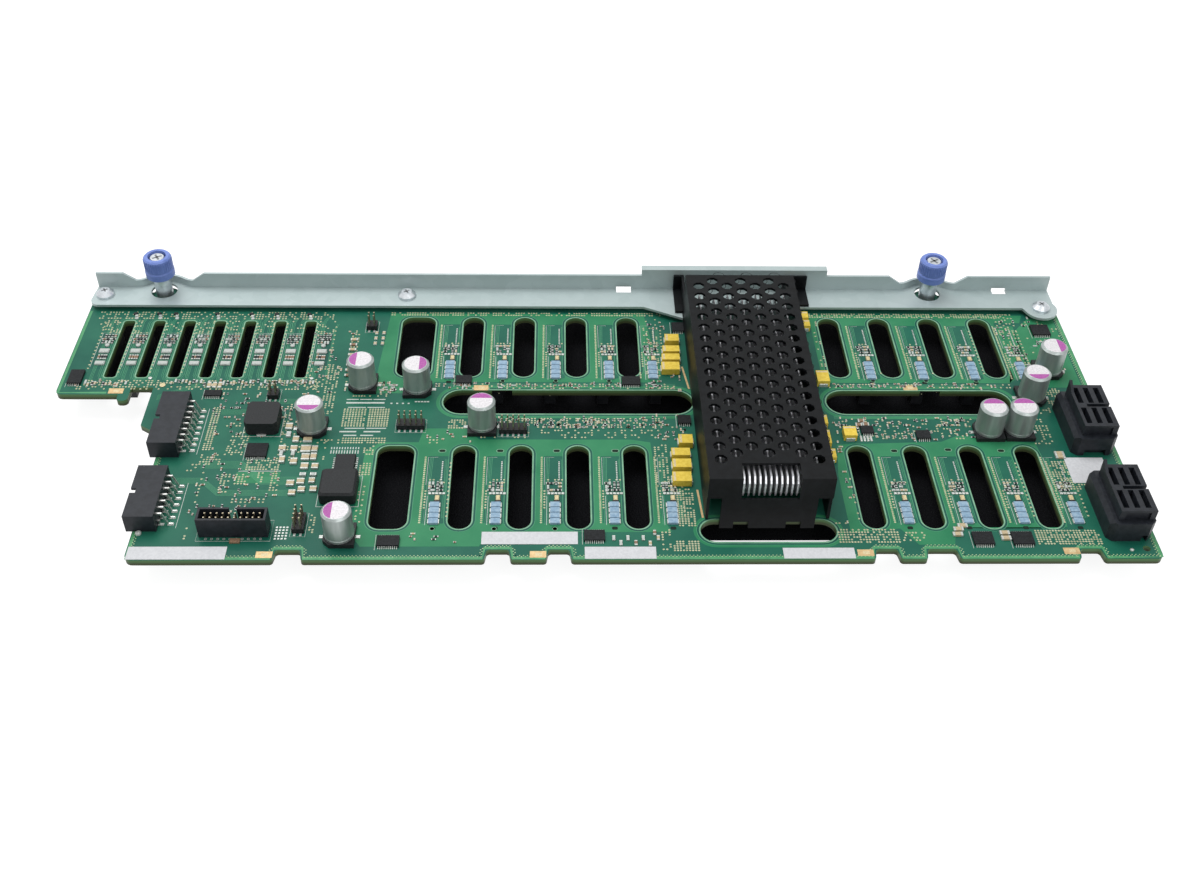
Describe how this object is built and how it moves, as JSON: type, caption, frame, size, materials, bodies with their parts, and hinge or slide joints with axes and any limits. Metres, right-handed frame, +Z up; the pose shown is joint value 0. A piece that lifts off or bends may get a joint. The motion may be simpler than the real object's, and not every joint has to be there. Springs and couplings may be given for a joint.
{
  "type": "drive backplane board",
  "caption": "Wide slotted circuit board with a folded steel rail, captive thumbscrews, a perforated chip cover and drive sockets underneath.",
  "frame": {"origin": "middle of the footprint, on the surface that the drive sockets' guide posts rest on", "axes": "+X to the right along the long side, +Y towards the folded rail, +Z up out of the component side"},
  "size_m": [0.385, 0.1512, 0.032],
  "materials": {
    "circuit_board_laminate": "green solder mask over glass laminate",
    "galvanised_sheet": "galvanised, slightly mottled",
    "zinc_plated_steel": "zinc plated",
    "blue_knob_plastic": "satin blue-violet",
    "nylon": "natural nylon",
    "charcoal_sheet": "matt charcoal powder coat",
    "heat_sink_aluminium": "bright folded fins",
    "chip_package": "matt black moulding",
    "capacitor_can": "satin can",
    "black_plastic": "matt",
    "inductor_body": "matt grey-black",
    "slate_plastic": "dark slate glass-filled",
    "tinned_pins": "tinned",
    "gold_pins": "gold flashed",
    "socket_plastic": "matt black",
    "tantalum_yellow": "moulded yellow",
    "pale_blue_ceramic": "pale blue"
  },
  "bodies": {
    "backplane": {"bulk_capacitor_1": "capacitor_can", "bulk_capacitor_2": "capacitor_can", "bulk_capacitor_3": "capacitor_can", "bulk_capacitor_4": "capacitor_can", "bulk_capacitor_5": "capacitor_can", "bulk_capacitor_6": "capacitor_can", "bulk_capacitor_7": "capacitor_can", "bulk_capacitor_8": "capacitor_can", "bulk_capacitor_9": "capacitor_can", "cable_connector_1": "slate_plastic", "cable_connector_2": "slate_plastic", "capacitor_bases": "black_plastic", "captive_sleeve_left": "zinc_plated_steel", "captive_sleeve_right": "zinc_plated_steel", "card_sockets": "socket_plastic", "circuit_board": "circuit_board_laminate", "drive_socket_01": "socket_plastic", "drive_socket_02": "socket_plastic", "drive_socket_03": "socket_plastic", "drive_socket_04": "socket_plastic", "drive_socket_05": "socket_plastic", "drive_socket_06": "socket_plastic", "drive_socket_07": "socket_plastic", "drive_socket_08": "socket_plastic", "drive_socket_09": "socket_plastic", "drive_socket_10": "socket_plastic", "drive_socket_11": "socket_plastic", "drive_socket_12": "socket_plastic", "drive_socket_13": "socket_plastic", "drive_socket_14": "socket_plastic", "drive_socket_15": "socket_plastic", "drive_socket_16": "socket_plastic", "drive_socket_17": "socket_plastic", "drive_socket_18": "socket_plastic", "expander_chip": "chip_package", "expander_cover": "charcoal_sheet", "filter_choke": "inductor_body", "heat_sink": "heat_sink_aluminium", "jumper_headers": "black_plastic", "jumper_pins": "gold_pins", "logic_chips": "chip_package", "power_inductor": "inductor_body", "power_pins_1": "tinned_pins", "power_pins_2": "tinned_pins", "power_socket_1": "slate_plastic", "power_socket_2": "slate_plastic", "press_nuts": "zinc_plated_steel", "rail_screws": "zinc_plated_steel", "resistor_arrays": "pale_blue_ceramic", "ribbon_header": "slate_plastic", "ribbon_pins": "gold_pins", "stiffener_rail": "galvanised_sheet", "tantalum_capacitors": "tantalum_yellow"},
    "washer_left": {"retaining_washer_left": "nylon"},
    "thumbscrew_left": {"captive_screw_left": "zinc_plated_steel", "thumb_knob_left": "blue_knob_plastic"},
    "washer_right": {"retaining_washer_right": "nylon"},
    "thumbscrew_right": {"captive_screw_right": "zinc_plated_steel", "thumb_knob_right": "blue_knob_plastic"}
  },
  "joints": [
    {"name": "thumbscrew_left_slide", "type": "slide", "parent": "backplane", "child": "washer_left", "axis": [0, 0, 1], "range_m": [-0.004, 0]},
    {"name": "thumbscrew_left_turn", "type": "hinge", "parent": "washer_left", "child": "thumbscrew_left", "pos_m": [-0.1648, 0.06835, 0.012], "axis": [0, 0, 1], "continuous": true},
    {"name": "thumbscrew_right_slide", "type": "slide", "parent": "backplane", "child": "washer_right", "axis": [0, 0, 1], "range_m": [-0.004, 0]},
    {"name": "thumbscrew_right_turn", "type": "hinge", "parent": "washer_right", "child": "thumbscrew_right", "pos_m": [0.1416, 0.06835, 0.012], "axis": [0, 0, 1], "continuous": true}
  ]
}
